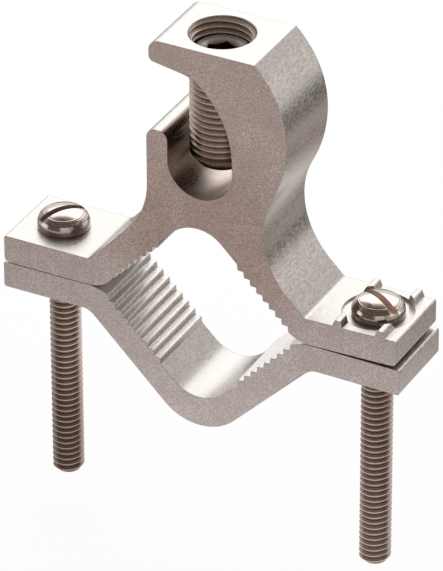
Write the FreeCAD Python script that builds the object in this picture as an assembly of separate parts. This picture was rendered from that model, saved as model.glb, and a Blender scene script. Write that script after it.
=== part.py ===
import FreeCAD, Part
import math
import os
from FreeCAD import Vector

# Frame: X runs from clamp screw to clamp screw, Y through the jaws, Z up towards the hook.
# The origin is the middle of the gripped rod, on the plane where the two jaws meet.
# All sizes are in millimetres and all angles in degrees.

ROOT_TWO = math.sqrt(2.0)

# Both jaws
JAW_WIDTH = 17.2
PARTING_GAP = 0.1
SCREW_SPACING = 68.0
END_ROUND = 0.5

# Toothed V that grips the rod, the same in both jaws
FLANK_DISTANCE = 15.5
UPPER_LEFT_RELIEF = 0.3
UPPER_TOOTH_PITCH = 1.905
LOWER_TOOTH_PITCH = 1.99
TOOTH_COUNT = 9
TOOTH_DEPTH = 0.75
TOOTH_FLAT = 0.16
TOOTH_ROOT_ROUND = 0.2
FIRST_TOOTH = -2.8
LEAD_IN_LENGTH = 4.5

# Lower jaw
LOWER_FLANGE = 5.5
LOWER_END = 8.7
LOWER_WALL = 5.36
LOWER_INNER_ROUND = 7.7
LOWER_OUTER_ROUND = 10.6
LOWER_FOOT_ROUND = 3.5
LOWER_TILT_LEFT = 0.0
LOWER_TILT_RIGHT = 0.8

# Upper jaw: flanges and arch
UPPER_FLANGE_LEFT = 5.8
UPPER_FLANGE_RIGHT = 5.58
UPPER_END_LEFT = 8.5
UPPER_END_RIGHT = 8.0
UPPER_END_ROUND = 1.0
UPPER_TILT_LEFT = 0.2
UPPER_TILT_RIGHT = 1.2
ARCH_ROUND = 7.3
LEFT_WALL = 5.0
LEFT_SLOPE = 48.3
LEFT_FOOT_ROUND = 2.0
LEFT_SHOULDER_ROUND = 16.0
RIGHT_WALL = 4.45
RIGHT_FOOT_ROUND = 1.5

# Upper jaw: conductor trough, lip and hook, placed from the middle of the trough
WEB = 6.65
TROUGH_RADIUS = 6.85
TROUGH_X = 0.4
LIP_WALL = 4.45
LIP_HEIGHT = 5.85
LIP_OUTER_ROUND = 1.9
LIP_INNER_ROUND = 1.9
THROAT_STRAIGHT = 2.4
THROAT_RADIUS = 20.8
THROAT_ANGLE = 45.0
ROOF_RADIUS = 8.5
ROOF_ANGLE = 80.0
NOSE_REACH = 10.65
NOSE_LOWER_ROUND = 1.2
NOSE_UPPER_ROUND = 2.2
HOOK_HEIGHT = 25.1
ARM_BULGE_X = 18.3
ARM_BULGE_Z = 9.4
ARM_UPPER_RADIUS = 21.6
ARM_WAIST_X = 13.47
ARM_WAIST_Z = -10.4
ARM_WAIST_RADIUS = 16.0

# Locking ribs and spotface on the right flange
RIB_OFFSET = 4.45
RIB_BASE = 2.2
RIB_TOP = 1.1
RIB_HEIGHT = 1.35
RIB_ROUND = 0.4
SPOTFACE_RADIUS = 7.0
SPOTFACE_DEPTH = 0.4

# Clamp screws
SHANK_RADIUS = 3.15
TAPPED_CLEARANCE = 0.05
THROUGH_CLEARANCE = 0.4
CLAMP_SCREW_LENGTH = 56.0
CLAMP_TIP_CHAMFER = 0.8
HEAD_RADIUS = 5.2
HEAD_HEIGHT = 4.0
HEAD_SIDE = 0.95
HEAD_SHOULDER_ROUND = 2.4
HEAD_UNDER_CHAMFER = 0.3
HEAD_SEAT_GAP = 0.02
SLOT_WIDTH = 1.45
SLOT_DEPTH = 2.0
SLOT_ANGLE_LEFT = 54.0
SLOT_ANGLE_RIGHT = -28.0

# Hook set screw, with a hexagon socket
SET_SCREW_X = 0.85
SET_SCREW_RADIUS = 6.3
SET_SCREW_CLEARANCE = 0.08
SET_SCREW_LENGTH = 23.8
SET_SCREW_DROP = 3.4
SET_SCREW_TOP_CHAMFER = 1.15
NOSE_LENGTH = 3.3
NOSE_TIP_RADIUS = 4.66
SOCKET_FLATS = 6.35
SOCKET_DEPTH = 7.5
SOCKET_MOUTH_RADIUS = 4.2
SOCKET_MOUTH_DEPTH = 0.8
SOCKET_ANGLE = 44.0
BORE_MOUTH_CHAMFER = 0.2

# Places worked out from the sizes above
FRONT = -JAW_WIDTH / 2
SCREW_X = SCREW_SPACING / 2
UPPER_LEFT_FLANK = FLANK_DISTANCE + UPPER_LEFT_RELIEF
ARCH_TOP = (FLANK_DISTANCE + UPPER_LEFT_FLANK) / ROOT_TWO - ARCH_ROUND * (ROOT_TWO - 1)
TROUGH_Z = ARCH_TOP + WEB + TROUGH_RADIUS
HOOK_TOP = TROUGH_Z + HOOK_HEIGHT


def at(point):
    """A point of the front face, from its x and z."""
    return Vector(point[0], FRONT, point[1])


def straight(start, end):
    return Part.LineSegment(at(start), at(end)).toShape()


def on_circle(centre, radius, angle):
    turn = math.radians(angle)
    return (centre[0] + radius * math.cos(turn), centre[1] + radius * math.sin(turn))


def arc(centre, radius, first, last):
    """Round edge about a centre, from the first angle to the last."""
    start = at(on_circle(centre, radius, first))
    middle = at(on_circle(centre, radius, (first + last) / 2))
    end = at(on_circle(centre, radius, last))
    return Part.Arc(start, middle, end).toShape()


def chain(corners):
    """Edges along corners of x, z and rounding radius; the two end corners stay sharp."""
    edges = []
    here = corners[0][:2]
    for before, corner, after in zip(corners, corners[1:], corners[2:]):
        if corner[2] > 0:
            entry, middle, leave = rounding(before, corner, after)
            edges.append(straight(here, entry))
            edges.append(Part.Arc(at(entry), at(middle), at(leave)).toShape())
            here = leave
        else:
            edges.append(straight(here, corner))
            here = corner[:2]
    edges.append(straight(here, corners[-1]))
    return edges


def rounding(before, corner, after):
    """Start, middle and end of the arc that rounds a corner."""
    back = unit(before[0] - corner[0], before[1] - corner[1])
    ahead = unit(after[0] - corner[0], after[1] - corner[1])
    inside = unit(back[0] + ahead[0], back[1] + ahead[1])
    half = math.acos(back[0] * inside[0] + back[1] * inside[1])
    reach = corner[2] / math.tan(half)
    bulge = corner[2] / math.sin(half) - corner[2]
    entry = (corner[0] + back[0] * reach, corner[1] + back[1] * reach)
    middle = (corner[0] + inside[0] * bulge, corner[1] + inside[1] * bulge)
    leave = (corner[0] + ahead[0] * reach, corner[1] + ahead[1] * reach)
    return entry, middle, leave


def unit(x, z):
    length = math.hypot(x, z)
    return (x / length, z / length)


def flank_point(side, level, along, distance):
    """A point of a 45 degree flank: along it, outwards, and its distance from the origin."""
    return (side * (distance + along) / ROOT_TWO, level * (distance - along) / ROOT_TWO)


def tooth_pitch(level):
    return UPPER_TOOTH_PITCH if level > 0 else LOWER_TOOTH_PITCH


def flank_distance(side, level):
    """Distance from the origin to the smooth part of one flank."""
    return UPPER_LEFT_FLANK if side < 0 < level else FLANK_DISTANCE


def toothed_flank(side, level):
    """Corners of one flank from its smooth part out to the last tooth's crest."""
    corners = []
    pitch = tooth_pitch(level)
    roots = flank_distance(side, level)
    crests = roots - TOOTH_DEPTH
    for tooth in range(TOOTH_COUNT):
        crest = FIRST_TOOTH + tooth * pitch
        root = flank_point(side, level, crest - pitch / 2, roots)
        inner = flank_point(side, level, crest - TOOTH_FLAT / 2, crests)
        outer = flank_point(side, level, crest + TOOTH_FLAT / 2, crests)
        corners += [root + (TOOTH_ROOT_ROUND,), inner + (0,), outer + (0,)]
    return corners


def lead_in(side, level):
    """Arc from the last crest to the parting face, and the point where it meets the face."""
    last_tooth = FIRST_TOOTH + (TOOTH_COUNT - 1) * tooth_pitch(level)
    crests = flank_distance(side, level) - TOOTH_DEPTH
    crest = flank_point(side, level, last_tooth + TOOTH_FLAT / 2, crests)
    face = level * PARTING_GAP / 2
    rise = abs(crest[1] - face)
    radius = (LEAD_IN_LENGTH ** 2 + rise ** 2) / (2 * rise)
    end = (crest[0] + side * LEAD_IN_LENGTH, face)
    centre = (end[0], face + level * radius)
    turn = math.degrees(math.asin(LEAD_IN_LENGTH / radius))
    down = -90 * level
    edge = arc(centre, radius, down - side * level * turn, down)
    return edge, end


def jaw_inside(level, vertex_round):
    """Edges of the toothed V, from the left parting face over its vertex to the right one."""
    left_edge, left_end = lead_in(-1, level)
    right_edge, right_end = lead_in(1, level)
    left = toothed_flank(-1, level)
    right = toothed_flank(1, level)
    left_distance = flank_distance(-1, level)
    right_distance = flank_distance(1, level)
    vertex_x = (right_distance - left_distance) / ROOT_TWO
    vertex_z = level * (right_distance + left_distance) / ROOT_TWO
    vertex = (vertex_x, vertex_z, vertex_round)
    teeth = chain(left[::-1] + [vertex] + right)
    return [left_edge] + teeth + [right_edge], left_end, right_end


def tilted(start, x, tilt):
    """Height at x of a line that leaves a point and rises outwards by a tilt."""
    return start[1] + abs(x - start[0]) * math.tan(math.radians(tilt))


def lower_outline():
    inside, left, right = jaw_inside(-1, LOWER_INNER_ROUND)
    reach = SCREW_X + LOWER_END
    depth = (FLANK_DISTANCE + LOWER_WALL) * ROOT_TWO
    bottom = -PARTING_GAP / 2 - LOWER_FLANGE
    foot = depth + bottom
    left_top = tilted(left, -reach, -LOWER_TILT_LEFT)
    right_top = tilted(right, reach, -LOWER_TILT_RIGHT)
    outside = chain([
        right + (0,),
        (reach, right_top, END_ROUND),
        (reach, right_top - LOWER_FLANGE, END_ROUND),
        (foot, bottom, LOWER_FOOT_ROUND),
        (0, -depth, LOWER_OUTER_ROUND),
        (-foot, bottom, LOWER_FOOT_ROUND),
        (-reach, left_top - LOWER_FLANGE, END_ROUND),
        (-reach, left_top, END_ROUND),
        left + (0,),
    ])
    return inside + outside


def rib(x, height):
    """Corners of one locking rib, from right to left over its top."""
    return [
        (x + RIB_BASE / 2, height, 0),
        (x + RIB_TOP / 2, height + RIB_HEIGHT, RIB_ROUND),
        (x - RIB_TOP / 2, height + RIB_HEIGHT, RIB_ROUND),
        (x - RIB_BASE / 2, height, 0),
    ]


def right_flange(inner_end, foot):
    """Edges from the parting face round the flange's end and over its ribs to the arm."""
    end_x = SCREW_X + UPPER_END_RIGHT
    end_z = tilted(inner_end, end_x, UPPER_TILT_RIGHT)
    corners = [
        inner_end + (0,),
        (end_x, end_z, UPPER_END_ROUND),
        (end_x, end_z + UPPER_FLANGE_RIGHT, END_ROUND),
    ]
    for x in (SCREW_X + RIB_OFFSET, SCREW_X - RIB_OFFSET):
        corners += rib(x, right_flange_top(inner_end, x))
    flank_sum = foot[0] + foot[1]
    slope = math.tan(math.radians(UPPER_TILT_RIGHT))
    level = right_flange_top(inner_end, flank_sum) / (1 + slope)
    corners += [(flank_sum - level, level, RIGHT_FOOT_ROUND), foot + (0,)]
    return chain(corners)


def right_flange_top(inner_end, x):
    slope = math.tan(math.radians(UPPER_TILT_RIGHT))
    return inner_end[1] + UPPER_FLANGE_RIGHT + (x - inner_end[0]) * slope


def arm_outside():
    """Edges of the arm's outer side, from the right flank up to the hook's top corner."""
    waist = (TROUGH_X + ARM_WAIST_X, TROUGH_Z + ARM_WAIST_Z)
    bulge = (TROUGH_X + ARM_BULGE_X, TROUGH_Z + ARM_BULGE_Z)
    flank = (FLANK_DISTANCE + RIGHT_WALL) * ROOT_TWO
    flank_radius = (waist[0] + waist[1] - flank) / (ROOT_TWO - 1)
    flank_centre = (waist[0] + flank_radius, waist[1])
    turn = 2 * math.degrees(math.atan((bulge[0] - waist[0]) / (bulge[1] - waist[1])))
    both_radii = (bulge[1] - waist[1]) / math.sin(math.radians(turn))
    lower_radius = both_radii - ARM_WAIST_RADIUS
    waist_centre = (waist[0] + ARM_WAIST_RADIUS, waist[1])
    lower_centre = (bulge[0] - lower_radius, bulge[1])
    upper_centre = (bulge[0] - ARM_UPPER_RADIUS, bulge[1])
    top_angle = math.degrees(math.asin((HOOK_TOP - bulge[1]) / ARM_UPPER_RADIUS))
    foot = on_circle(flank_centre, flank_radius, 225)
    corner = on_circle(upper_centre, ARM_UPPER_RADIUS, top_angle)
    edges = [
        arc(flank_centre, flank_radius, 225, 180),
        arc(waist_centre, ARM_WAIST_RADIUS, 180, 180 - turn),
        arc(lower_centre, lower_radius, -turn, 0),
        arc(upper_centre, ARM_UPPER_RADIUS, 0, top_angle),
    ]
    return edges, foot, corner


def hook_inside(top_corner):
    """Edges from the hook's top corner round its nose and down the throat to the lip."""
    throat_x = TROUGH_X + TROUGH_RADIUS
    throat_z = TROUGH_Z + THROAT_STRAIGHT
    throat_centre = (throat_x - THROAT_RADIUS, throat_z)
    joint = on_circle(throat_centre, THROAT_RADIUS, THROAT_ANGLE)
    roof_centre = on_circle(joint, -ROOF_RADIUS, THROAT_ANGLE)
    roof_end = on_circle(roof_centre, ROOF_RADIUS, ROOF_ANGLE)
    nose_x = TROUGH_X - NOSE_REACH
    rise = (roof_end[0] - nose_x) / math.tan(math.radians(ROOF_ANGLE))
    nose = chain([
        top_corner + (0,),
        (nose_x, HOOK_TOP, NOSE_UPPER_ROUND),
        (nose_x, roof_end[1] + rise, NOSE_LOWER_ROUND),
        roof_end + (0,),
    ])
    return nose + [
        arc(roof_centre, ROOF_RADIUS, ROOF_ANGLE, THROAT_ANGLE),
        arc(throat_centre, THROAT_RADIUS, THROAT_ANGLE, 0),
        straight((throat_x, throat_z), (throat_x, TROUGH_Z)),
        arc((TROUGH_X, TROUGH_Z), TROUGH_RADIUS, 0, -180),
    ]


def left_side(inner_end):
    """Edges from the trough's left edge over the lip, down the arch and round the flange."""
    inner_x = TROUGH_X - TROUGH_RADIUS
    outer_x = inner_x - LIP_WALL
    lip_z = TROUGH_Z + LIP_HEIGHT
    end_x = -(SCREW_X + UPPER_END_LEFT)
    end_z = tilted(inner_end, end_x, UPPER_TILT_LEFT)
    flange_top = inner_end[1] + UPPER_FLANGE_LEFT
    foot_x = flange_top - (UPPER_LEFT_FLANK + LEFT_WALL) * ROOT_TWO
    shoulder_z = flange_top + (outer_x - foot_x) * math.tan(math.radians(LEFT_SLOPE))
    return chain([
        (inner_x, TROUGH_Z, 0),
        (inner_x, lip_z, LIP_INNER_ROUND),
        (outer_x, lip_z, LIP_OUTER_ROUND),
        (outer_x, shoulder_z, LEFT_SHOULDER_ROUND),
        (foot_x, flange_top, LEFT_FOOT_ROUND),
        (end_x, end_z + UPPER_FLANGE_LEFT, END_ROUND),
        (end_x, end_z, UPPER_END_ROUND),
        inner_end + (0,),
    ])


def upper_outline():
    inside, left, right = jaw_inside(1, ARCH_ROUND)
    arm, foot, corner = arm_outside()
    return inside + right_flange(right, foot) + arm + hook_inside(corner) + left_side(left)


def extruded(edges):
    """A closed outline of the front face, drawn through the jaw's width."""
    wire = Part.Wire(Part.__sortEdges__(edges))
    return Part.Face(wire).extrude(Vector(0, JAW_WIDTH, 0))


def upright_cylinder(x, radius, bottom, top):
    return Part.makeCylinder(radius, top - bottom, Vector(x, 0, bottom))


def spotface_height():
    """Height of the seat that the spotface cuts for the right screw's head."""
    inner_end = lead_in(1, 1)[1]
    return right_flange_top(inner_end, SCREW_X - SPOTFACE_RADIUS) - SPOTFACE_DEPTH


def left_seat_height():
    """Height that just clears the left flange under the whole of the left screw's head."""
    inner_end = lead_in(-1, 1)[1]
    return tilted(inner_end, -SCREW_X - HEAD_RADIUS, UPPER_TILT_LEFT) + UPPER_FLANGE_LEFT


def upper_jaw():
    jaw = extruded(upper_outline())
    for x in (-SCREW_X, SCREW_X):
        hole = upright_cylinder(x, SHANK_RADIUS + THROUGH_CLEARANCE, -1, 2 * UPPER_FLANGE_LEFT)
        jaw = jaw.cut(hole)
    seat = spotface_height()
    jaw = jaw.cut(upright_cylinder(SCREW_X, SPOTFACE_RADIUS, seat, seat + UPPER_FLANGE_RIGHT))
    bore_radius = SET_SCREW_RADIUS + SET_SCREW_CLEARANCE
    bore_bottom = TROUGH_Z + THROAT_STRAIGHT
    jaw = jaw.cut(upright_cylinder(SET_SCREW_X, bore_radius, bore_bottom, HOOK_TOP + 1))
    mouth = Part.makeCone(
        bore_radius,
        bore_radius + 2 * BORE_MOUTH_CHAMFER,
        2 * BORE_MOUTH_CHAMFER,
        Vector(SET_SCREW_X, 0, HOOK_TOP - BORE_MOUTH_CHAMFER),
    )
    return jaw.cut(mouth)


def lower_jaw():
    jaw = extruded(lower_outline())
    for x in (-SCREW_X, SCREW_X):
        hole = upright_cylinder(x, SHANK_RADIUS + TAPPED_CLEARANCE, -3 * LOWER_FLANGE, LOWER_FLANGE)
        jaw = jaw.cut(hole)
    return jaw


def turned(points, x):
    """A solid turned about an upright axis from radius and height points; a third value
    marks a point that an arc passes through."""
    edges = []
    place = [Vector(x + p[0], 0, p[1]) for p in points]
    index = 0
    while index < len(points) - 1:
        if len(points[index + 1]) == 3:
            edges.append(Part.Arc(place[index], place[index + 1], place[index + 2]).toShape())
            index += 2
        else:
            edges.append(Part.LineSegment(place[index], place[index + 1]).toShape())
            index += 1
    edges.append(Part.LineSegment(place[-1], place[0]).toShape())
    face = Part.Face(Part.Wire(edges))
    return face.revolve(Vector(x, 0, 0), Vector(0, 0, 1), 360)


def round_head(under, crown):
    """Radius and height points of the head: chamfer, short side, shoulder arc and dome."""
    shoulder_x = HEAD_RADIUS - HEAD_SHOULDER_ROUND
    shoulder_z = under + HEAD_SIDE
    rise = crown - shoulder_z
    dome = (shoulder_x ** 2 + rise ** 2 - HEAD_SHOULDER_ROUND ** 2) / (2 * (rise - HEAD_SHOULDER_ROUND))
    dome_z = crown - dome
    joint = math.degrees(math.atan2(shoulder_z - dome_z, shoulder_x))
    return [
        (HEAD_RADIUS - HEAD_UNDER_CHAMFER, under),
        (HEAD_RADIUS, under + HEAD_UNDER_CHAMFER),
        (HEAD_RADIUS, shoulder_z),
        on_circle((shoulder_x, shoulder_z), HEAD_SHOULDER_ROUND, joint / 2) + ("arc",),
        on_circle((shoulder_x, shoulder_z), HEAD_SHOULDER_ROUND, joint),
        on_circle((0, dome_z), dome, (joint + 90) / 2) + ("arc",),
        (0, crown),
    ]


def clamp_screw(x, seat, slot_angle):
    """A slotted round-head screw standing on its seat."""
    under = seat + HEAD_SEAT_GAP
    crown = under + HEAD_HEIGHT
    tip = under - CLAMP_SCREW_LENGTH
    shank = [
        (0, tip),
        (SHANK_RADIUS - CLAMP_TIP_CHAMFER, tip),
        (SHANK_RADIUS, tip + CLAMP_TIP_CHAMFER),
        (SHANK_RADIUS, under),
    ]
    screw = turned(shank + round_head(under, crown), x)
    slot = Part.makeBox(
        3 * HEAD_RADIUS, SLOT_WIDTH, 2 * SLOT_DEPTH,
        Vector(-1.5 * HEAD_RADIUS, -SLOT_WIDTH / 2, crown - SLOT_DEPTH),
    )
    slot.rotate(Vector(0, 0, 0), Vector(0, 0, 1), slot_angle)
    slot.translate(Vector(x, 0, 0))
    return screw.cut(slot)


def set_screw():
    """The headless screw of the hook, with a rounded nose and a hexagon socket."""
    top = HOOK_TOP - SET_SCREW_DROP
    tip = top - SET_SCREW_LENGTH
    shrink = SET_SCREW_RADIUS - NOSE_TIP_RADIUS
    nose_radius = (shrink ** 2 + NOSE_LENGTH ** 2) / (2 * shrink)
    half_turn = math.asin(NOSE_LENGTH / nose_radius) / 2
    nose_middle = (
        SET_SCREW_RADIUS - nose_radius * (1 - math.cos(half_turn)),
        tip + NOSE_LENGTH - nose_radius * math.sin(half_turn),
        "arc",
    )
    screw = turned([
        (0, tip),
        (NOSE_TIP_RADIUS, tip),
        nose_middle,
        (SET_SCREW_RADIUS, tip + NOSE_LENGTH),
        (SET_SCREW_RADIUS, top - SET_SCREW_TOP_CHAMFER),
        (SET_SCREW_RADIUS - SET_SCREW_TOP_CHAMFER, top),
        (0, top),
    ], SET_SCREW_X)
    return screw.cut(hexagon_socket(top)).cut(socket_mouth(top))


def hexagon_socket(top):
    corner_radius = SOCKET_FLATS / math.sqrt(3)
    corners = []
    for step in range(7):
        x, y = on_circle((SET_SCREW_X, 0), corner_radius, SOCKET_ANGLE + 60 * step)
        corners.append(Vector(x, y, top - SOCKET_DEPTH))
    return Part.Face(Part.makePolygon(corners)).extrude(Vector(0, 0, 2 * SOCKET_DEPTH))


def socket_mouth(top):
    """Cone that opens the socket's mouth out to a round edge."""
    base = Vector(SET_SCREW_X, 0, top - SOCKET_MOUTH_DEPTH)
    return Part.makeCone(SOCKET_FLATS / 2, SOCKET_MOUTH_RADIUS, SOCKET_MOUTH_DEPTH, base)


def main():
    parts = {
        "upper_jaw": upper_jaw(),
        "lower_jaw": lower_jaw(),
        "left_clamp_screw": clamp_screw(-SCREW_X, left_seat_height(), SLOT_ANGLE_LEFT),
        "right_clamp_screw": clamp_screw(SCREW_X, spotface_height(), SLOT_ANGLE_RIGHT),
        "set_screw": set_screw(),
    }
    os.makedirs("parts", exist_ok=True)
    for name, shape in parts.items():
        shape.exportStep(os.path.join("parts", name + ".step"))
        box = shape.BoundBox
        print(name, shape.isValid(), len(shape.Solids), round(shape.Volume, 2), box)


main()
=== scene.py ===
import math

import bmesh
import bpy
from mathutils import Matrix, Vector


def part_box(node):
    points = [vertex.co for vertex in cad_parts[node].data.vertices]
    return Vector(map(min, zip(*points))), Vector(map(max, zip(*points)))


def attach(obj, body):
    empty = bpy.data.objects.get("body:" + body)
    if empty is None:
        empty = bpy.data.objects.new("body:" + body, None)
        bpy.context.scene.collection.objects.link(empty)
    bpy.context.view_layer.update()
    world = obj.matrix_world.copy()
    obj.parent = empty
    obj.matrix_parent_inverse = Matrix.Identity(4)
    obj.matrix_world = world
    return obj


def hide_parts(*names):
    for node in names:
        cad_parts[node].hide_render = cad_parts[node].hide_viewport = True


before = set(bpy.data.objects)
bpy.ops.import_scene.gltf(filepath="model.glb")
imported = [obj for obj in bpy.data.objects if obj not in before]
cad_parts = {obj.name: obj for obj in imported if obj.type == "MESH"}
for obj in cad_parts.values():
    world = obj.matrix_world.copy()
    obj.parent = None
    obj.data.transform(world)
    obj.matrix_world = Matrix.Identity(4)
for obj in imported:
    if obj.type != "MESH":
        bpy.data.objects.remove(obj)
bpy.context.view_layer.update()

MM = 0.001

# Screw threads: pitch, and the flat widths of a crest and of a root
THREAD_PITCH = 1.27 * MM
CREST_WIDTH = 0.16 * MM
ROOT_WIDTH = 0.30 * MM

# Clamp screws: shank, round head and slot
CLAMP_SCREW_X = 34.0 * MM
CLAMP_SCREW_LENGTH = 56.0 * MM
CLAMP_CREST_RADIUS = 3.15 * MM
CLAMP_ROOT_RADIUS = 2.45 * MM
CLAMP_TIP_RADIUS = 2.3 * MM
SHANK_INTO_HEAD = 0.2 * MM
SHANK_SIDES = 48
HEAD_RADIUS = 5.2 * MM
HEAD_HEIGHT = 4.0 * MM
HEAD_SIDE = 0.95 * MM
HEAD_SHOULDER_ROUND = 2.4 * MM
HEAD_UNDER_CHAMFER = 0.3 * MM
HEAD_EDGE_ROUND = 0.12 * MM
HEAD_SIDES = 96
SHOULDER_STEPS = 10
DOME_STEPS = 12
SLOT_WIDTH = 1.45 * MM
SLOT_DEPTH = 2.0 * MM
SLOT_ANGLES = {"left": 54.0, "right": -28.0}

# Hook set screw: threaded body, nose and hexagon socket
SET_SCREW_X = 0.85 * MM
SET_CREST_RADIUS = 6.3 * MM
SET_ROOT_RADIUS = 5.62 * MM
SET_NOSE_RADIUS = 4.66 * MM
SET_NOSE_LENGTH = 3.3 * MM
SET_TOP_RADIUS = 5.15 * MM
SET_SCREW_SIDES = 72
NOSE_STEEPNESS = 1.6
SOCKET_FLATS = 6.35 * MM
SOCKET_DEPTH = 7.5 * MM
SOCKET_MOUTH_RADIUS = 4.2 * MM
SOCKET_MOUTH_DEPTH = 0.8 * MM
SOCKET_ANGLE = 44.0

# Angles in degrees: sharper edges stay crisp, or are rounded a little on the heads
CRISP_THREAD = 30
CRISP_HEAD = 35
ROUNDED_HEAD = 40

# Thread in the hook's bore: its skin stands a little in front of the bore's wall
BORE_RADIUS = 6.38 * MM
BORE_SKIN = 0.04 * MM
BORE_RIDGE_RADIUS = 5.72 * MM
BORE_RIDGE_WIDTH = 0.16 * MM
BORE_GROOVE_WIDTH = 0.24 * MM
BORE_THREAD_LENGTH = 5.0 * MM
BORE_START_SLOPE = 1.5
BORE_MOUTH_CHAMFER = 0.2 * MM

# How far the lower jaw slides down, which the floor leaves room for
LOWER_JAW_TRAVEL = 31.75 * MM
FLOOR_CLEARANCE = 0.1 * MM

# How far cutters reach past what they cut, and what counts as touching
CUT_BEYOND = 1.0 * MM
TOUCHING = 0.01 * MM
WELD_DISTANCE = 0.002 * MM
SLIVER_LENGTH = 0.001 * MM


# Node helpers

def link(tree, source, target):
    tree.links.new(source, target)


def math_node(tree, operation, *values, clamp=False):
    """A Math node; each value is a number or another node's output."""
    node = tree.nodes.new("ShaderNodeMath")
    node.operation = operation
    node.use_clamp = clamp
    for socket, value in zip(node.inputs, values):
        if isinstance(value, (int, float)):
            socket.default_value = value
        else:
            link(tree, value, socket)
    return node.outputs[0]


def product(tree, first, *others):
    """All the values multiplied."""
    for value in others:
        first = math_node(tree, "MULTIPLY", first, value)
    return first


def blend(tree, factor, first, second):
    """First where the factor is 0 and second where it is 1."""
    step = math_node(tree, "SUBTRACT", second, first)
    return math_node(tree, "MULTIPLY_ADD", step, factor, first)


def split(tree, vector):
    """The vector's X, Y and Z."""
    node = tree.nodes.new("ShaderNodeSeparateXYZ")
    link(tree, vector, node.inputs[0])
    return node.outputs


def object_point(tree):
    """The point being coloured, in the piece's own frame."""
    return tree.nodes.new("ShaderNodeTexCoord").outputs["Object"]


def distance_from(tree, point, centre):
    node = tree.nodes.new("ShaderNodeVectorMath")
    node.operation = "DISTANCE"
    link(tree, point, node.inputs[0])
    node.inputs[1].default_value = centre
    return node.outputs["Value"]


def smooth_range(tree, value, start, end):
    """0 at the start and 1 at the end, with soft ends; the end may be the lower number."""
    node = tree.nodes.new("ShaderNodeMapRange")
    node.interpolation_type = "SMOOTHSTEP"
    link(tree, value, node.inputs["Value"])
    node.inputs["From Min"].default_value = start
    node.inputs["From Max"].default_value = end
    return node.outputs["Result"]


def mix_colour(tree, factor, first, second, way="MIX"):
    """First where the factor is 0, and second, or their product, where it is 1."""
    node = tree.nodes.new("ShaderNodeMix")
    node.data_type = "RGBA"
    node.blend_type = way
    link(tree, factor, node.inputs["Factor"])
    for socket, value in ((node.inputs[6], first), (node.inputs[7], second)):
        if isinstance(value, tuple):
            socket.default_value = value + (1.0,)
        else:
            link(tree, value, socket)
    return node.outputs[2]


def tint(tree, colour, mask, tone, share=1.0, way="MIX"):
    """The colour, with this share of the tone where the mask is 1."""
    if share != 1.0:
        mask = math_node(tree, "MULTIPLY", mask, share)
    return mix_colour(tree, mask, colour, tone, way)


# Screw threads, by Geometry Nodes

THREAD_INPUTS = {
    "NodeSocketFloat": (
        "Axis X", "Crest radius", "Root radius", "Crest width", "Root width", "Pitch",
        "Bottom", "Top", "Bottom radius", "Top radius", "Bottom slope", "Top slope", "Outward",
    ),
    "NodeSocketInt": ("Sides", "Rows"),
    "NodeSocketMaterial": ("Finish",),
}

# Each turn of the sheet has two rows on the crest and two in the root
ROWS_PER_TURN = 4
SPARE_TURNS = 2


def thread_spot(tree, sizes):
    """Where each point of the flat sheet goes: round the axis and up along the helix."""
    place = split(tree, tree.nodes.new("GeometryNodeInputPosition").outputs[0])
    turn = math_node(tree, "ADD", place["X"], 0.5)
    row = math_node(tree, "MULTIPLY", math_node(tree, "ADD", place["Y"], 0.5), sizes["Rows"])
    row = math_node(tree, "ROUND", row)
    land = math_node(tree, "FLOOR", math_node(tree, "DIVIDE", row, 2))
    edge = math_node(tree, "SUBTRACT", row, math_node(tree, "MULTIPLY", land, 2))
    is_root = math_node(tree, "MODULO", land, 2)
    width = blend(tree, is_root, sizes["Crest width"], sizes["Root width"])
    radius = blend(tree, is_root, sizes["Crest radius"], sizes["Root radius"])
    turns = math_node(tree, "ADD", math_node(tree, "MULTIPLY_ADD", land, 0.5, -1.0), turn)
    rise = math_node(tree, "MULTIPLY", turns, sizes["Pitch"])
    lift = math_node(tree, "MULTIPLY", math_node(tree, "SUBTRACT", edge, 0.5), width)
    height = math_node(tree, "ADD", math_node(tree, "ADD", rise, lift), sizes["Bottom"])
    height = math_node(tree, "MAXIMUM", height, sizes["Bottom"])
    height = math_node(tree, "MINIMUM", height, sizes["Top"])
    for end in ("Bottom", "Top"):
        radius = ended(tree, sizes, radius, height, end)
    angle = math_node(tree, "MULTIPLY", turn, 2 * math.pi)
    across = math_node(tree, "MULTIPLY", radius, math_node(tree, "COSINE", angle))
    along = math_node(tree, "MULTIPLY", radius, math_node(tree, "SINE", angle))
    spot = tree.nodes.new("ShaderNodeCombineXYZ")
    link(tree, math_node(tree, "ADD", across, sizes["Axis X"]), spot.inputs["X"])
    link(tree, along, spot.inputs["Y"])
    link(tree, height, spot.inputs["Z"])
    return spot.outputs[0]


def ended(tree, sizes, radius, height, end):
    """The radius, kept within the cone that closes one end of the thread."""
    near, far = (height, sizes["Bottom"]) if end == "Bottom" else (sizes["Top"], height)
    away = math_node(tree, "MULTIPLY", math_node(tree, "SUBTRACT", near, far), sizes[end + " slope"])
    limit = math_node(tree, "MULTIPLY_ADD", sizes[end + " radius"], sizes["Outward"], away)
    turned = math_node(tree, "MULTIPLY", radius, sizes["Outward"])
    return math_node(tree, "MULTIPLY", math_node(tree, "MINIMUM", turned, limit), sizes["Outward"])


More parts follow.
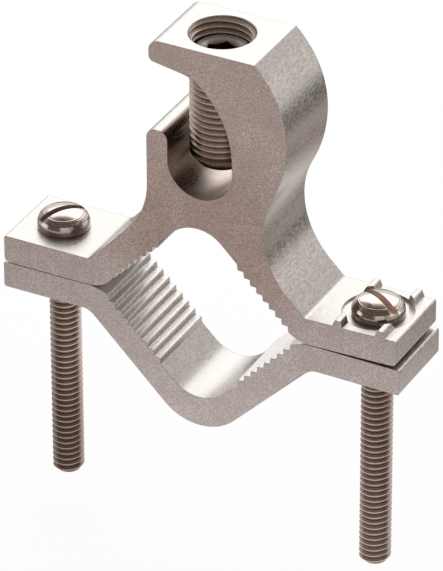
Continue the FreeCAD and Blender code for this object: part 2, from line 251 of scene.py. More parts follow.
def thread_tree():
    """Rolls a sheet round an axis into a screw thread whose rows follow the helix."""
    tree = bpy.data.node_groups.new("Screw thread", "GeometryNodeTree")
    for kind, names in THREAD_INPUTS.items():
        for name in names:
            tree.interface.new_socket(name, in_out="INPUT", socket_type=kind)
    tree.interface.new_socket("Geometry", in_out="OUTPUT", socket_type="NodeSocketGeometry")
    sizes = tree.nodes.new("NodeGroupInput").outputs
    sheet = tree.nodes.new("GeometryNodeMeshGrid")
    sheet.inputs["Size X"].default_value = 1.0
    sheet.inputs["Size Y"].default_value = 1.0
    link(tree, math_node(tree, "ADD", sizes["Sides"], 1), sheet.inputs["Vertices X"])
    link(tree, math_node(tree, "ADD", sizes["Rows"], 1), sheet.inputs["Vertices Y"])
    rolled = tree.nodes.new("GeometryNodeSetPosition")
    link(tree, sheet.outputs["Mesh"], rolled.inputs["Geometry"])
    link(tree, thread_spot(tree, sizes), rolled.inputs["Position"])
    merged = tree.nodes.new("GeometryNodeMergeByDistance")
    merged.inputs["Distance"].default_value = WELD_DISTANCE
    link(tree, rolled.outputs[0], merged.inputs["Geometry"])
    real = tree.nodes.new("GeometryNodeRealizeInstances")
    link(tree, merged.outputs[0], real.inputs[0])
    painted = tree.nodes.new("GeometryNodeSetMaterial")
    link(tree, real.outputs[0], painted.inputs["Geometry"])
    link(tree, sizes["Finish"], painted.inputs["Material"])
    link(tree, painted.outputs[0], tree.nodes.new("NodeGroupOutput").inputs[0])
    return tree


def thread_mesh(name, tree, material, **sizes):
    """The thread's open tube as a bmesh, with its ends at the two given heights."""
    holder = bpy.data.objects.new(name, bpy.data.meshes.new(name))
    bpy.context.scene.collection.objects.link(holder)
    modifier = holder.modifiers.new("Thread", "NODES")
    modifier.node_group = tree
    values = {key.replace("_", " "): value for key, value in sizes.items()}
    length = values["top"] - values["bottom"]
    values["rows"] = ROWS_PER_TURN * (math.ceil(length / THREAD_PITCH) + SPARE_TURNS)
    values["pitch"] = THREAD_PITCH
    values["finish"] = material
    for item in tree.interface.items_tree:
        if item.in_out == "INPUT":
            modifier[item.identifier] = values[item.name.lower()]
    bpy.context.view_layer.update()
    depsgraph = bpy.context.evaluated_depsgraph_get()
    mesh = bpy.data.meshes.new_from_object(holder.evaluated_get(depsgraph))
    bpy.data.objects.remove(holder)
    shape = bmesh.new()
    shape.from_mesh(mesh)
    bpy.data.meshes.remove(mesh)
    bmesh.ops.dissolve_degenerate(shape, dist=SLIVER_LENGTH, edges=shape.edges)
    return shape


# Mesh helpers

def open_edges(shape):
    return [edge for edge in shape.edges if edge.is_boundary]


def ring(shape, x, radius, height, sides, start=0.0):
    """Points round an upright axis at x."""
    points = []
    for step in range(sides):
        angle = start + 2 * math.pi * step / sides
        spot = (x + radius * math.cos(angle), radius * math.sin(angle), height)
        points.append(shape.verts.new(spot))
    return points


def skirt(shape, lower, upper):
    """Faces between two rings, one of which may be a single point on the axis."""
    sides = max(len(lower), len(upper))
    for step in range(sides):
        after = (step + 1) % sides
        corners = [lower[step % len(lower)], lower[after % len(lower)]]
        corners += [upper[after % len(upper)], upper[step % len(upper)]]
        unique = list(dict.fromkeys(corners))
        shape.faces.new(unique)


def lathe(points, sides, x):
    """A closed solid turned about an upright axis at x, from radius and height points."""
    shape = bmesh.new()
    rings = []
    for radius, height in points:
        on_axis = radius == 0
        rings.append(ring(shape, x, radius, height, 1 if on_axis else sides))
    for lower, upper in zip(rings, rings[1:]):
        skirt(shape, lower, upper)
    return shape


def arc_points(centre, radius, first, last, steps):
    """Points of radius and height along an arc, the first one left out."""
    points = []
    for step in range(1, steps + 1):
        angle = math.radians(first + (last - first) * step / steps)
        points.append((centre[0] + radius * math.cos(angle), centre[1] + radius * math.sin(angle)))
    return points


def to_object(name, shape, material):
    """Turns a bmesh into an object with outward faces."""
    bmesh.ops.recalc_face_normals(shape, faces=shape.faces)
    mesh = bpy.data.meshes.new(name)
    shape.to_mesh(mesh)
    shape.free()
    mesh.materials.clear()
    mesh.materials.append(material)
    piece = bpy.data.objects.new(name, mesh)
    bpy.context.scene.collection.objects.link(piece)
    return piece


def apply_modifiers(piece):
    """Bakes the modifiers into the piece's own mesh."""
    bpy.context.view_layer.update()
    depsgraph = bpy.context.evaluated_depsgraph_get()
    mesh = bpy.data.meshes.new_from_object(piece.evaluated_get(depsgraph))
    piece.modifiers.clear()
    old = piece.data
    piece.data = mesh
    mesh.name = piece.name
    bpy.data.meshes.remove(old)


def cut_away(piece, cutter):
    """Cuts the cutter's volume out of the piece and removes the cutter."""
    cut = piece.modifiers.new("Cut", "BOOLEAN")
    cut.operation = "DIFFERENCE"
    cut.solver = "EXACT"
    cut.object = cutter
    apply_modifiers(piece)
    bpy.data.objects.remove(cutter)


def break_edges(piece, width, angle):
    """Rounds the edges sharper than the angle a little, as handling does."""
    bevel = piece.modifiers.new("Edges", "BEVEL")
    bevel.width = width
    bevel.segments = 2
    bevel.limit_method = "ANGLE"
    bevel.angle_limit = math.radians(angle)
    apply_modifiers(piece)


def smooth(piece, angle):
    """Smooth shading, with edges sharper than the angle kept crisp."""
    mesh = piece.data
    mesh.shade_smooth()
    mesh.set_sharp_from_angle(angle=math.radians(angle))


def fit(piece, body):
    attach(piece, body)


# Clamp screws

def head_profile(under):
    """Radius and height points of the round head, from its underside to its crown."""
    crown = under + HEAD_HEIGHT
    shoulder = (HEAD_RADIUS - HEAD_SHOULDER_ROUND, under + HEAD_SIDE)
    rise = crown - shoulder[1]
    dome = (shoulder[0] ** 2 + rise ** 2 - HEAD_SHOULDER_ROUND ** 2) / (2 * (rise - HEAD_SHOULDER_ROUND))
    dome_centre = (0, crown - dome)
    joint = math.degrees(math.atan2(shoulder[1] - dome_centre[1], shoulder[0]))
    points = [(0, under), (HEAD_RADIUS - HEAD_UNDER_CHAMFER, under)]
    points += [(HEAD_RADIUS, under + HEAD_UNDER_CHAMFER), (HEAD_RADIUS, shoulder[1])]
    points += arc_points(shoulder, HEAD_SHOULDER_ROUND, 0, joint, SHOULDER_STEPS)
    points += arc_points(dome_centre, dome, joint, 90, DOME_STEPS)[:-1]
    return points + [(0, crown)]


def slot_cutter(x, crown, angle):
    """The block that cuts a head's slot."""
    shape = bmesh.new()
    bmesh.ops.create_cube(shape, size=1.0)
    size = Matrix.Diagonal((3 * HEAD_RADIUS, SLOT_WIDTH, 2 * SLOT_DEPTH, 1))
    turn = Matrix.Rotation(math.radians(angle), 4, "Z")
    bmesh.ops.transform(shape, matrix=Matrix.Translation((x, 0, crown)) @ turn @ size, verts=shape.verts)
    return to_object("slot_cutter", shape, None)


def paint_slot(head, x, crown, angle, finish):
    """Gives the slot's floor and walls a finish of their own."""
    head.data.materials.append(finish)
    turn = math.radians(angle)
    for face in head.data.polygons:
        spot = face.center
        aside = abs((spot.x - x) * math.sin(turn) - spot.y * math.cos(turn))
        in_slot = aside < SLOT_WIDTH / 2 + TOUCHING and spot.z > crown - SLOT_DEPTH - TOUCHING
        # The slot's own faces don't lean along it, and the head's outside does
        leaning = abs(face.normal.x * math.cos(turn) + face.normal.y * math.sin(turn))
        if in_slot and leaning < 0.05:
            face.material_index = 1


def clamp_screw(side, x, tree, head_finish, slot_finish, thread_finish):
    """Head and threaded shank of one clamp screw."""
    node = side + "_clamp_screw"
    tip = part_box(node)[0][2]
    under = tip + CLAMP_SCREW_LENGTH
    crown = under + HEAD_HEIGHT
    head = to_object(node + "_head", lathe(head_profile(under), HEAD_SIDES, x), head_finish)
    cut_away(head, slot_cutter(x, crown, SLOT_ANGLES[side]))
    paint_slot(head, x, crown, SLOT_ANGLES[side], slot_finish)
    break_edges(head, HEAD_EDGE_ROUND, ROUNDED_HEAD)
    smooth(head, CRISP_HEAD)
    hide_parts(node)
    shape = thread_mesh(
        node + "_thread", tree, thread_finish,
        axis_x=x,
        crest_radius=CLAMP_CREST_RADIUS,
        root_radius=CLAMP_ROOT_RADIUS,
        crest_width=CREST_WIDTH,
        root_width=ROOT_WIDTH,
        bottom=tip,
        top=under + SHANK_INTO_HEAD,
        bottom_radius=CLAMP_TIP_RADIUS,
        top_radius=CLAMP_TIP_RADIUS,
        bottom_slope=1.0,
        top_slope=1.0,
        outward=1.0,
        sides=SHANK_SIDES,
    )
    bmesh.ops.holes_fill(shape, edges=open_edges(shape), sides=0)
    shank = to_object(node + "_thread", shape, thread_finish)
    smooth(shank, CRISP_THREAD)
    body = side + "_screw"
    fit(head, body)
    fit(shank, body)


# Hook set screw and its bore

def socket_cutter(top):
    """The hexagon prism that cuts the socket."""
    corner = SOCKET_FLATS / math.sqrt(3)
    turn = math.radians(SOCKET_ANGLE)
    shape = bmesh.new()
    floor = ring(shape, SET_SCREW_X, corner, top - SOCKET_DEPTH, 6, turn)
    lid = ring(shape, SET_SCREW_X, corner, top + CUT_BEYOND, 6, turn)
    skirt(shape, floor, lid)
    shape.faces.new(floor[::-1])
    shape.faces.new(lid)
    return to_object("socket_cutter", shape, None)


def mouth_cutter(top):
    """The cone that cuts the socket's sloping mouth."""
    base = top - SOCKET_MOUTH_DEPTH
    points = [(0, base), (SOCKET_FLATS / 2, base), (SOCKET_MOUTH_RADIUS, top)]
    points += [(SOCKET_MOUTH_RADIUS, top + CUT_BEYOND), (0, top + CUT_BEYOND)]
    return to_object("mouth_cutter", lathe(points, SET_SCREW_SIDES, SET_SCREW_X), None)


def paint_top(screw, top, finish):
    """Gives the screw's flat top and the socket's mouth a finish of their own."""
    screw.data.materials.append(finish)
    # Only faces of the top and the mouth have their middle above this height
    lowest = top - 0.9 * SOCKET_MOUTH_DEPTH
    for face in screw.data.polygons:
        reach = math.hypot(face.center.x - SET_SCREW_X, face.center.y)
        if face.center.z > lowest and reach < SET_TOP_RADIUS:
            face.material_index = 1


def set_screw(tree, finish, machined):
    """Threaded set screw with a smooth nose and a hexagon socket; gives its tip's height."""
    low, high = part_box("set_screw")
    shrink = SET_CREST_RADIUS - SET_NOSE_RADIUS
    shape = thread_mesh(
        "set_screw_body", tree, finish,
        axis_x=SET_SCREW_X,
        crest_radius=SET_CREST_RADIUS,
        root_radius=SET_ROOT_RADIUS,
        crest_width=CREST_WIDTH,
        root_width=ROOT_WIDTH,
        bottom=low[2],
        top=high[2],
        bottom_radius=SET_NOSE_RADIUS,
        top_radius=SET_TOP_RADIUS,
        bottom_slope=shrink / SET_NOSE_LENGTH * NOSE_STEEPNESS,
        top_slope=1.0,
        outward=1.0,
        sides=SET_SCREW_SIDES,
    )
    bmesh.ops.holes_fill(shape, edges=open_edges(shape), sides=0)
    screw = to_object("set_screw_body", shape, finish)
    cut_away(screw, socket_cutter(high[2]))
    cut_away(screw, mouth_cutter(high[2]))
    smooth(screw, CRISP_THREAD)
    paint_top(screw, high[2], machined)
    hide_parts("set_screw")
    fit(screw, "hook_screw")
    return low[2]


def bore_thread(tree, finish, screw_tip):
    """The thread inside the hook's bore; its ridges lie in the set screw's grooves."""
    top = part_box("upper_jaw")[1][2] - BORE_MOUTH_CHAMFER
    lowest = top - BORE_THREAD_LENGTH
    bottom = screw_tip + math.ceil((lowest - screw_tip) / THREAD_PITCH) * THREAD_PITCH
    shape = thread_mesh(
        "hook_bore_thread", tree, finish,
        axis_x=SET_SCREW_X,
        crest_radius=BORE_RADIUS - BORE_SKIN,
        root_radius=BORE_RIDGE_RADIUS,
        crest_width=BORE_GROOVE_WIDTH,
        root_width=BORE_RIDGE_WIDTH,
        bottom=bottom,
        top=top,
        bottom_radius=BORE_RADIUS,
        top_radius=BORE_RADIUS,
        bottom_slope=BORE_START_SLOPE,
        top_slope=1.0,
        outward=-1.0,
        sides=SET_SCREW_SIDES,
    )
    bmesh.ops.bridge_loops(shape, edges=open_edges(shape))
    sleeve = to_object("hook_bore_thread", shape, finish)
    smooth(sleeve, CRISP_THREAD)
    fit(sleeve, "upper")


# Finishes: what they share

# Grain: cells to the metre along X, Y and Z, layers of detail, and contrast
SAWN_SPECKLE = dict(scale=(3000, 3000, 3000), detail=2.0, contrast=5.0)
SAWN_BLOTCHES = dict(scale=(170, 170, 170), detail=2.0, contrast=2.6)
SATIN_LINES = dict(scale=(2400, 900, 2400), detail=2.0, contrast=3.5)
HEAD_SPECKLE = dict(scale=(700, 700, 700), detail=3.0, contrast=1.6)
THREAD_SPECKLE = dict(scale=(1500, 1500, 1500), detail=3.0, contrast=2.0)


def new_material(name):
    material = bpy.data.materials.new(name)
    material.use_nodes = True
    tree = material.node_tree
    return material, tree, tree.nodes["Principled BSDF"]


def grain_group():
    """Speckle at one scale along each axis, as a value from 0 to 1."""
    tree = bpy.data.node_groups.new("Grain", "ShaderNodeTree")
    tree.interface.new_socket("Scale", in_out="INPUT", socket_type="NodeSocketVector")
    tree.interface.new_socket("Detail", in_out="INPUT", socket_type="NodeSocketFloat")
    tree.interface.new_socket("Contrast", in_out="INPUT", socket_type="NodeSocketFloat")
    tree.interface.new_socket("Value", in_out="OUTPUT", socket_type="NodeSocketFloat")
    sizes = tree.nodes.new("NodeGroupInput").outputs
    stretch = tree.nodes.new("ShaderNodeMapping")
    link(tree, object_point(tree), stretch.inputs["Vector"])
    link(tree, sizes["Scale"], stretch.inputs["Scale"])
    noise = tree.nodes.new("ShaderNodeTexNoise")
    noise.inputs["Scale"].default_value = 1.0
    noise.inputs["Roughness"].default_value = 0.6
    link(tree, stretch.outputs[0], noise.inputs["Vector"])
    link(tree, sizes["Detail"], noise.inputs["Detail"])
    centred = math_node(tree, "SUBTRACT", noise.outputs["Fac"], 0.5)
    value = math_node(tree, "MULTIPLY_ADD", centred, sizes["Contrast"], 0.5, clamp=True)
    link(tree, value, tree.nodes.new("NodeGroupOutput").inputs[0])
    return tree


def grain(tree, group, scale, detail, contrast):
    node = tree.nodes.new("ShaderNodeGroup")
    node.node_tree = group
    node.inputs["Scale"].default_value = scale
    node.inputs["Detail"].default_value = detail
    node.inputs["Contrast"].default_value = contrast
    return node.outputs["Value"]


def edge_group():
    """Rounded normals along sharp edges, and a value that is 1 on them and 0 away from them."""
    tree = bpy.data.node_groups.new("Broken edge", "ShaderNodeTree")
    tree.interface.new_socket("Width", in_out="INPUT", socket_type="NodeSocketFloat")
    tree.interface.new_socket("Normal", in_out="OUTPUT", socket_type="NodeSocketVector")
    tree.interface.new_socket("Value", in_out="OUTPUT", socket_type="NodeSocketFloat")
    rounded = tree.nodes.new("ShaderNodeBevel")
    rounded.samples = 4
    link(tree, tree.nodes.new("NodeGroupInput").outputs["Width"], rounded.inputs["Radius"])
    likeness = tree.nodes.new("ShaderNodeVectorMath")
    likeness.operation = "DOT_PRODUCT"
    link(tree, rounded.outputs[0], likeness.inputs[0])
    link(tree, tree.nodes.new("ShaderNodeNewGeometry").outputs["Normal"], likeness.inputs[1])
    bend = math_node(tree, "SUBTRACT", 1.0, likeness.outputs["Value"])
    value = math_node(tree, "MULTIPLY", bend, 5.0, clamp=True)
    result = tree.nodes.new("NodeGroupOutput")
    link(tree, rounded.outputs[0], result.inputs["Normal"])
    link(tree, value, result.inputs["Value"])
    return tree


def add_bump(tree, shader, height, strength, distance, normal=None):
    bump = tree.nodes.new("ShaderNodeBump")
    bump.inputs["Strength"].default_value = strength
    bump.inputs["Distance"].default_value = distance
    link(tree, height, bump.inputs["Height"])
    if normal:
        link(tree, normal, bump.inputs["Normal"])
    link(tree, bump.outputs[0], shader.inputs["Normal"])


# Plated aluminium of the jaws

# Colours, and roughness from the dark to the light of the grain
SAWN_DARK = (0.41, 0.33, 0.30)
SAWN_LIGHT = (0.70, 0.59, 0.545)
SAWN_STAIN = (0.43, 0.34, 0.305)
SAWN_ROUGHNESS = (0.40, 0.54)
SAWN_METALLIC = 0.78
SATIN_DARK = (0.40, 0.362, 0.33)
SATIN_LIGHT = (0.58, 0.53, 0.488)
SATIN_GLINT = (0.68, 0.63, 0.59)
SATIN_ROUGHNESS = (0.22, 0.34)
LEVEL_ROUGHNESS = 0.08
SATIN_METALLIC = 0.97
# Painted light: level tops are tinted towards this lighter colour
TOP_PAINTED_LIGHT = (0.68, 0.67, 0.65)
LEVEL_PITS = (0.44, 0.42, 0.40)
# Painted shade: a thin dark line along sharp edges
EDGE_PAINTED_SHADE = (0.26, 0.21, 0.185)
RIM_WIDTH = 0.22 * MM

# How far a face looks along Z to be level, and along X to be the trough's shaded wall
LEVEL_FACING = (0.8, 1.0)
SHADED_FACING = (0.0, 0.75)

# Sawn faces are greyer below these heights and browner within these distances of the web
GREY_BELOW = (14 * MM, -4 * MM)
GREY_TINT = (1.05, 1.12, 1.16)
WEB_CENTRE = (2 * MM, 0, 16 * MM)
WEB_REACH = (28 * MM, 14 * MM)
WEB_TINT = (0.88, 0.82, 0.80)

# The trough between the lip and the arm, under the hook, with painted shade on its wall and bottom
TROUGH_HEIGHTS = (13.0 * MM, 38.4 * MM)
TROUGH_SHADED_X = (-60 * MM, 1.0 * MM)
TROUGH_BOTTOM_X = (-5 * MM, 7 * MM)
# Painted shade: brown on the trough's wall, and a warm darkening of its bottom
TROUGH_WALL_PAINTED_SHADE = (0.095, 0.05, 0.025)
TROUGH_BOTTOM_PAINTED_SHADE = (0.95, 0.83, 0.78)


def sawn_colour(tree, speckle, blotch):
    """Mottled brown, greyer and lighter low down and browner round the web."""
    colour = mix_colour(tree, speckle, SAWN_DARK, SAWN_LIGHT)
    colour = tint(tree, colour, blotch, SAWN_STAIN, share=0.5)
    point = object_point(tree)
    low = smooth_range(tree, split(tree, point)["Z"], *GREY_BELOW)
    colour = tint(tree, colour, low, GREY_TINT, way="MULTIPLY")
    web = smooth_range(tree, distance_from(tree, point, WEB_CENTRE), *WEB_REACH)
    return tint(tree, colour, web, WEB_TINT, way="MULTIPLY")


def satin_colour(tree, speckle, lines, level):
    """Fine lines along the extrusion, with painted light making level tops lighter, and small pits on
    them.
    """
    colour = mix_colour(tree, lines, SATIN_DARK, SATIN_LIGHT)
    colour = tint(tree, colour, speckle, SATIN_GLINT, share=0.3)
    # Painted light on the level tops
    colour = tint(tree, colour, level, TOP_PAINTED_LIGHT, share=0.6)
    return tint(tree, colour, product(tree, level, speckle), LEVEL_PITS, share=0.3)


def in_trough(tree, left, right):
    """1 between two places on X, above the rod and under the hook, and 0 elsewhere."""
    place = split(tree, object_point(tree))
    value = math_node(tree, "GREATER_THAN", place["Z"], TROUGH_HEIGHTS[0])
    value = product(tree, value, math_node(tree, "LESS_THAN", place["Z"], TROUGH_HEIGHTS[1]))
    value = product(tree, value, math_node(tree, "GREATER_THAN", place["X"], left))
    return product(tree, value, math_node(tree, "LESS_THAN", place["X"], right))


def trough_painted_shade(tree, colour, facing, level):
    """Painted shade: brown on the trough's shaded wall, and warmer and darker on its bottom."""
    shaded = smooth_range(tree, facing["X"], *SHADED_FACING)
    shaded = product(tree, shaded, in_trough(tree, *TROUGH_SHADED_X))
    colour = tint(tree, colour, shaded, TROUGH_WALL_PAINTED_SHADE, share=0.9)
    bottom = product(tree, level, in_trough(tree, *TROUGH_BOTTOM_X))
    return tint(tree, colour, bottom, TROUGH_BOTTOM_PAINTED_SHADE, way="MULTIPLY")


def jaw_metal(grain_nodes, edge_nodes):
    """Plated aluminium: satin along the extrusion, matt and mottled on the sawn faces."""
    material, tree, shader = new_material("plated_aluminium")
    facing = split(tree, tree.nodes.new("ShaderNodeTexCoord").outputs["Normal"])
    sideways = math_node(tree, "ABSOLUTE", facing["Y"])
    # 0 up to 0.8 of facing along Y, and 1 where the face looks straight along it
    sawn = math_node(tree, "MULTIPLY_ADD", sideways, 5.0, -4.0, clamp=True)
    level = smooth_range(tree, facing["Z"], *LEVEL_FACING)
    speckle = grain(tree, grain_nodes, **SAWN_SPECKLE)
    blotch = grain(tree, grain_nodes, **SAWN_BLOTCHES)
    lines = grain(tree, grain_nodes, **SATIN_LINES)
    satin = satin_colour(tree, speckle, lines, level)
    colour = mix_colour(tree, sawn, satin, sawn_colour(tree, speckle, blotch))
    # Painted shade in the trough
    colour = trough_painted_shade(tree, colour, facing, level)
    edge = tree.nodes.new("ShaderNodeGroup")
    edge.node_tree = edge_nodes
    edge.inputs["Width"].default_value = RIM_WIDTH
    # Painted shade along sharp edges
    colour = tint(tree, colour, edge.outputs["Value"], EDGE_PAINTED_SHADE, share=0.35)
    link(tree, colour, shader.inputs["Base Color"])
    rough_satin = blend(tree, lines, *SATIN_ROUGHNESS)
    rough_satin = math_node(tree, "MULTIPLY_ADD", level, LEVEL_ROUGHNESS, rough_satin)
    rough_sawn = blend(tree, speckle, *SAWN_ROUGHNESS)
    link(tree, blend(tree, sawn, rough_satin, rough_sawn), shader.inputs["Roughness"])
    link(tree, blend(tree, sawn, SATIN_METALLIC, SAWN_METALLIC), shader.inputs["Metallic"])
    height = blend(tree, sawn, lines, speckle)
    add_bump(tree, shader, height, strength=0.10, distance=0.03 * MM, normal=edge.outputs["Normal"])
    return material


# Steel of the screws, and the other metals cut by tools

# Colours, and where the rings that turning leaves begin, from the screw's axis
TURNED_DARK = (0.54, 0.47, 0.43)
TURNED_LIGHT = (0.68, 0.61, 0.565)
TURNED_GRIME = (0.17, 0.125, 0.10)
TURNED_ROUGHNESS = (0.13, 0.19)
TURNING_PITCH = 0.42 * MM
TURNING_START = (3.4 * MM, 4.0 * MM)
# Painted shade in thread roots, and painted highlight along thread crests
ROOT_PAINTED_SHADE = (0.25, 0.18, 0.145)
CREST_PAINTED_HIGHLIGHT = (0.86, 0.78, 0.71)
# The dark that screw ends fall off to: painted shade on the set screw's nose, and a darker lower end of
# the left shank
END_DARKENING = (0.15, 0.105, 0.085)
SPECKLE_ROUGHNESS = 0.12

# Where the painted shade in the roots and the painted highlight on the crests begin and end, as shares
# of the thread's depth down from the crest
UNSHADED_FROM = 0.5
HIGHLIGHT_FROM = 0.24
HIGHLIGHT_TO = 0.04

# Painted shade on the set screw's nose, by heights above its tip, and the heights between which the left
# shank darkens
NOSE_PAINTED_SHADE = (5 * MM, 1 * MM)
LEFT_SHANK_DARKENING = (-14 * MM, -42 * MM)


def axis_distance(tree, axis_x, both_sides=False):
    """Distance from an upright axis, or from the nearer one where there is one on both sides."""
    place = split(tree, object_point(tree))
    across = place["X"]
    if both_sides:
        across = math_node(tree, "ABSOLUTE", across)
    across = math_node(tree, "SUBTRACT", across, axis_x)
    square = math_node(tree, "MULTIPLY", across, across)
    square = math_node(tree, "MULTIPLY_ADD", place["Y"], place["Y"], square)
    return math_node(tree, "SQRT", square)


def head_steel(grain_nodes):
    """Polished steel, with the fine rings that turning leaves round the shoulder."""
    material, tree, shader = new_material("turned_steel")
    speckle = grain(tree, grain_nodes, **HEAD_SPECKLE)
    reach = axis_distance(tree, CLAMP_SCREW_X, both_sides=True)
    turns = math_node(tree, "MULTIPLY", reach, 2 * math.pi / TURNING_PITCH)
    rings = math_node(tree, "MULTIPLY_ADD", math_node(tree, "SINE", turns), 0.5, 0.5)
    rings = product(tree, rings, smooth_range(tree, reach, *TURNING_START))
    colour = mix_colour(tree, speckle, TURNED_DARK, TURNED_LIGHT)
    link(tree, tint(tree, colour, rings, TURNED_GRIME, share=0.35), shader.inputs["Base Color"])
    link(tree, blend(tree, speckle, *TURNED_ROUGHNESS), shader.inputs["Roughness"])
    shader.inputs["Metallic"].default_value = 1.0
    add_bump(tree, shader, rings, strength=1.0, distance=0.03 * MM)
    return material


def cut_metal(name, grain_nodes, dark, light, metallic=1.0, roughness=0.22):
    """Rolled, cut or tapped metal with a fine speckle."""
    material, tree, shader = new_material(name)
    speckle = grain(tree, grain_nodes, **THREAD_SPECKLE)
    link(tree, mix_colour(tree, speckle, dark, light), shader.inputs["Base Color"])
    rough = math_node(tree, "MULTIPLY_ADD", speckle, SPECKLE_ROUGHNESS, roughness)
    link(tree, rough, shader.inputs["Roughness"])
    shader.inputs["Metallic"].default_value = metallic
    add_bump(tree, shader, speckle, strength=0.25, distance=0.02 * MM)
    return material


def thread_painted_light(material, axis_x, root, crest, highlight, both_sides=False):
    """Paints shade into the thread's roots and a highlight along its crests, by the distance from the
    screw's axis.
    """
    tree = material.node_tree
    target = tree.nodes["Principled BSDF"].inputs["Base Color"]
    plain = target.links[0].from_socket
    reach = axis_distance(tree, axis_x, both_sides)
    depth = crest - root
    undarkened = smooth_range(tree, reach, root, crest - UNSHADED_FROM * depth)
    colour = mix_colour(tree, undarkened, ROOT_PAINTED_SHADE, plain)
    line = smooth_range(tree, reach, crest - HIGHLIGHT_FROM * depth, crest - HIGHLIGHT_TO * depth)
    link(tree, tint(tree, colour, line, CREST_PAINTED_HIGHLIGHT, share=highlight), target)


def darken_end(material, undarkened, darkest, share=1.0, left_only=False):
    """Lets a screw's colour fall off to dark from one height down to a lower one."""
    tree = material.node_tree
    target = tree.nodes["Principled BSDF"].inputs["Base Color"]
    plain = target.links[0].from_socket
    place = split(tree, object_point(tree))
    end = smooth_range(tree, place["Z"], undarkened, darkest)
    if left_only:
        end = product(tree, end, math_node(tree, "LESS_THAN", place["X"], 0.0))
    link(tree, tint(tree, plain, end, END_DARKENING, share), target)


def rolled_steel(grain_nodes):
    """Thread of the clamp screws."""
    steel = cut_metal("thread_steel", grain_nodes, (0.31, 0.235, 0.205), (0.47, 0.385, 0.345))
    # Painted shade in the roots and painted highlight on the crests
    thread_painted_light(steel, CLAMP_SCREW_X, CLAMP_ROOT_RADIUS, CLAMP_CREST_RADIUS, highlight=0.4, both_sides=True)
    # The left shank darker towards its lower end
    darken_end(steel, *LEFT_SHANK_DARKENING, share=0.45, left_only=True)
    return steel


def hook_steel(grain_nodes):
    """Thread and nose of the set screw."""
    steel = cut_metal("hook_screw_steel", grain_nodes, (0.42, 0.33, 0.295), (0.66, 0.555, 0.505))
    # Painted shade in the roots and painted highlight on the crests
    thread_painted_light(steel, SET_SCREW_X, SET_ROOT_RADIUS, SET_CREST_RADIUS, highlight=0.45)
    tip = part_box("set_screw")[0][2]
    # Painted shade on the nose
    darken_end(steel, tip + NOSE_PAINTED_SHADE[0], tip + NOSE_PAINTED_SHADE[1])
    return steel


def tapped_aluminium(grain_nodes):
    """Thread in the hook's bore, whose crests point inwards."""
    metal = cut_metal(
        "tapped_aluminium", grain_nodes, (0.38, 0.29, 0.23), (0.56, 0.45, 0.37),
        metallic=0.75, roughness=0.3,
    )
    # Painted shade in the grooves and painted highlight along the ridges
    thread_painted_light(metal, SET_SCREW_X, BORE_RADIUS, BORE_RIDGE_RADIUS, highlight=1.0)
    return metal


def machined_steel(grain_nodes):
    """Top of the set screw and the socket's mouth."""
    steel = cut_metal(
        "machined_steel", grain_nodes, (0.58, 0.51, 0.465), (0.74, 0.67, 0.625),
        metallic=0.85, roughness=0.28,
    )
    # Painted shade towards the socket and painted highlight near the top's rim
    thread_painted_light(steel, SET_SCREW_X, SOCKET_FLATS / 2, SET_TOP_RADIUS, highlight=0.8)
    return steel


def slot_steel(name, grain_nodes, dark, light):
    return cut_metal(name, grain_nodes, dark, light, metallic=0.75, roughness=0.34)


def dress(node, material):
    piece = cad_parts[node]
    piece.data.materials.clear()
    piece.data.materials.append(material)


# Studio

# The camera looks back at the object from this direction and distance
FRAME_HEIGHT = 571
CAMERA_AZIMUTH = 27.654
CAMERA_ELEVATION = 31.789
CAMERA_ROLL = -0.199
CAMERA_DISTANCE = 1063.33 * MM
CAMERA_OFFSET_RIGHT = 0.383 * MM
CAMERA_OFFSET_UP = 1.508 * MM
CAMERA_OFFSET_X = 0.15 * MM
FOCAL_PIXELS = 5531.9
HALF_PIXEL = 0.5 / FRAME_HEIGHT

# What surrounds the object, and what only its reflections show
WHITE = (1.0, 1.0, 1.0)
SCATTERED = (0.9, 0.9, 0.9)
DARK_ROOM = (0.15, 0.117, 0.10)
ROOM_LEAN_X = -0.3
ROOM_LEAN_Y = 0.8
ROOM_EDGE = (0.18, 0.5)
SIDE_WALL = (0.52, 0.49, 0.465)
SIDE_WALL_EDGE = (0.70, 0.86)

# Bands of the floor, by the distance from its centre in metres
FLOOR_SIZE = 4.0
FLOOR_CENTRE = (0, 0.012, 0)
FLOOR_GLOW = 0.85
DARK_FLOOR = (0.225, 0.165, 0.142)
DARK_BAND = (0.085, 0.145)
FAR_FLOOR = (0.50, 0.455, 0.43)
FAR_BAND = (0.13, 0.20)
SHADED_FLOOR = (0.05, 0.04, 0.035)
SHADED_BAND = (0.20, 0.28)
SHADED_BEHIND = (0.05, 0.13)
WHITE_BAND = (0.50, 1.00)


def make_camera():
    """The camera at the photograph's angle, with the picture's middle half a pixel off."""
    azimuth = math.radians(CAMERA_AZIMUTH)
    elevation = math.radians(CAMERA_ELEVATION)
    roll = math.radians(CAMERA_ROLL)
    back = Vector((
        math.sin(azimuth) * math.cos(elevation),
        -math.cos(azimuth) * math.cos(elevation),
        math.sin(elevation),
    ))
    level = Vector((math.cos(azimuth), math.sin(azimuth), 0))
    upright = back.cross(level)
    right = level * math.cos(roll) + upright * math.sin(roll)
    up = upright * math.cos(roll) - level * math.sin(roll)
    spot = back * CAMERA_DISTANCE + right * CAMERA_OFFSET_RIGHT + up * CAMERA_OFFSET_UP
    spot += Vector((CAMERA_OFFSET_X, 0, 0))
    data = bpy.data.cameras.new("camera")
    data.sensor_width = 36.0
    data.lens = FOCAL_PIXELS / FRAME_HEIGHT * data.sensor_width
    data.shift_x = -HALF_PIXEL
    data.shift_y = HALF_PIXEL
    data.clip_start = 0.05
    data.clip_end = 20.0
    camera = bpy.data.objects.new("camera", data)
    bpy.context.scene.collection.objects.link(camera)
    turn = Matrix((right, up, back)).transposed().to_4x4()
    camera.matrix_world = Matrix.Translation(spot) @ turn
    bpy.context.scene.camera = camera


